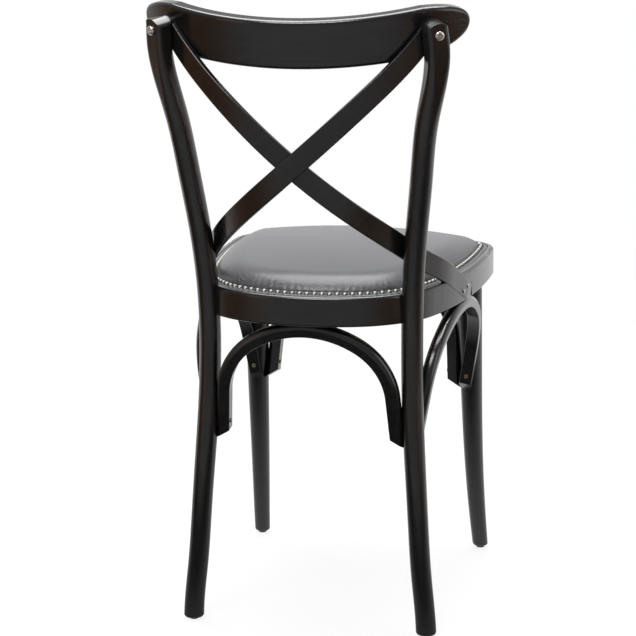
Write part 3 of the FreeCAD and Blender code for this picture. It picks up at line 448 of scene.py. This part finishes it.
def lamp(name, place, target, size, power, colour=WHITE):
    data = bpy.data.lights.new(name, "AREA")
    data.shape = "RECTANGLE"
    data.size = size[0]
    data.size_y = size[1]
    data.energy = power
    data.color = colour
    thing = bpy.data.objects.new(name, data)
    scene.collection.objects.link(thing)
    thing.location = place
    thing.visible_camera = False
    aim = Vector(target) - Vector(place)
    thing.rotation_euler = aim.to_track_quat("-Z", "Y").to_euler()


def place_lamps():
    """A soft box overhead, one above the photo's camera, and a plain and a warm one at the sides."""
    middle = (0.0, 0.0, 0.5)
    lamp("overhead", (0.1, -0.45, 2.6), (0.0, -0.2, 0.5), (2.0, 1.8), power=100.0)
    lamp("front_top", (0.3, 1.9, 2.9), middle, (1.6, 1.0), power=60.0)
    lamp("side_box", (-2.6, 0.5, 1.1), middle, (1.2, 2.0), power=13.0)
    lamp("warm_side", (2.2, 2.4, 0.7), middle, (0.9, 1.2), power=3.5, colour=LAMP_WARM)


# Leather seat


def ring_bends():
    """Centre, radius, and start and end heading of each arc of half the ring's outline."""
    bends = []
    x, y, start = 0.0, RING_REAR_Y, 0.0
    for radius, degrees in RING_BENDS:
        end = math.radians(degrees)
        cx, cy = x - radius * math.sin(start), y - radius * math.cos(start)
        bends.append((cx, cy, radius, start, end))
        x, y = cx + radius * math.sin(end), cy + radius * math.cos(end)
        start = end
    radius = x / math.sin(math.pi - start)
    bends.append((0.0, y - radius * math.cos(start), radius, start, math.pi))
    return bends


def outline(count):
    """Points and outward directions all round the ring's outline, evenly spaced by length."""
    bends = ring_bends()
    lengths = [radius * (end - start) for cx, cy, radius, start, end in bends]
    half = sum(lengths)
    found = []
    for number in range(count):
        travelled = 2.0 * half * number / count
        sign = 1.0
        if travelled > half:
            travelled, sign = 2.0 * half - travelled, -1.0
        for (cx, cy, radius, start, end), length in zip(bends, lengths):
            if travelled <= length + 1e-9:
                heading = start + travelled / radius
                nx, ny = math.sin(heading), math.cos(heading)
                found.append((sign * (cx + radius * nx), cy + radius * ny, sign * nx, ny))
                break
            travelled -= length
    return found


def pad_height(x, y, inward):
    """Height of the leather at a place that lies inward of the crease beside the nails."""
    dome = PAD_CROWN - PAD_DOME + math.sqrt(PAD_DOME ** 2 - x ** 2 - (y - SEAT_MIDDLE_Y) ** 2)
    short = max(0.0, 1.0 - inward / PAD_SIDE)
    return PAD_START + dome * (1.0 - short ** PAD_FULLNESS) ** (1.0 / PAD_FULLNESS)


def pucker(share):
    """How far the leather is drawn in: one fold for each nail, and each fold a little its own."""
    turns = NAIL_COUNT * share
    number = math.floor(turns)
    fold = 0.5 + 0.5 * math.cos(2.0 * math.pi * (turns - 0.5))
    return fold * (PUCKER_MEAN + PUCKER_SPREAD * math.sin(2.4 * number + 0.7) * math.cos(1.1 * number))


def cover_rows():
    """Closed rows of points, from the foot of the skirt over the nail margin to the top of the pad."""
    around = outline(POINTS_AROUND)

    def row(inset, height):
        return [(x - nx * inset, y - ny * inset, height) for x, y, nx, ny in around]

    rows = [row(COVER_INSET + SKIRT_THICKNESS, SKIRT_FOOT), row(COVER_INSET, SKIRT_FOOT)]
    for inward, rise in SHOULDER:
        rows.append(row(COVER_INSET + inward, SKIRT_TOP + rise))
    for step in range(MARGIN_STEPS + 1):
        across = MARGIN_WIDTH * step / MARGIN_STEPS
        height = SKIRT_TOP + SKIRT_ROUND + across * MARGIN_RISE
        rows.append(row(COVER_INSET + SKIRT_ROUND + across, height))
    for inward in PAD_SIDE_ROWS:
        flat = row(PAD_INSET + inward, 0.0)
        fade_in = min(1.0, inward / PUCKER_START)
        fade_out = max(0.0, 1.0 - inward / PUCKER_REACH) ** 2
        drop = PUCKER_DEPTH * fade_in * fade_out
        side = []
        for number, (x, y, z) in enumerate(flat):
            side.append((x, y, pad_height(x, y, inward) - drop * pucker(number / len(flat))))
        rows.append(side)
    edge = rows[-1]
    for step in range(1, PAD_TOP_STEPS):
        share = (step / PAD_TOP_STEPS) ** PAD_TOP_SPREAD
        inward = PAD_SIDE_ROWS[-1] + PAD_TOP_DEPTH * share
        top = []
        for x, y, z in edge:
            nearer_x = x * (1.0 - share)
            nearer_y = SEAT_MIDDLE_Y + (y - SEAT_MIDDLE_Y) * (1.0 - share)
            top.append((nearer_x, nearer_y, pad_height(nearer_x, nearer_y, inward)))
        rows.append(top)
    return rows


def leather_seat():
    """The whole cover as one closed piece: skirt, nail margin, pillowed pad and underside."""
    mesh = bmesh.new()
    loops = [[mesh.verts.new(Vector(point) * MM) for point in row] for row in cover_rows()]
    top = mesh.verts.new(Vector((0.0, SEAT_MIDDLE_Y, PAD_START + PAD_CROWN)) * MM)
    under = mesh.verts.new(Vector((0.0, SEAT_MIDDLE_Y, SKIRT_FOOT)) * MM)
    for i in range(POINTS_AROUND):
        j = (i + 1) % POINTS_AROUND
        for lower, upper in zip(loops, loops[1:]):
            mesh.faces.new((lower[i], upper[i], upper[j], lower[j]))
        mesh.faces.new((loops[-1][i], top, loops[-1][j]))
        mesh.faces.new((loops[0][j], under, loops[0][i]))
    bmesh.ops.recalc_face_normals(mesh, faces=mesh.faces)
    data = bpy.data.meshes.new("seat_cushion")
    mesh.to_mesh(data)
    mesh.free()
    for polygon in data.polygons:
        polygon.use_smooth = True
    thing = bpy.data.objects.new("seat_cushion", data)
    scene.collection.objects.link(thing)
    return thing


dress_wood()
dress_fittings()
set_camera()
lay_floor()
light_room()
place_lamps()
scene.view_settings.view_transform = "Standard"

cushion = leather_seat()
cushion.data.materials.append(leather("leather"))
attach(cushion, "root")
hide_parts("seat_cover", "seat_foam")
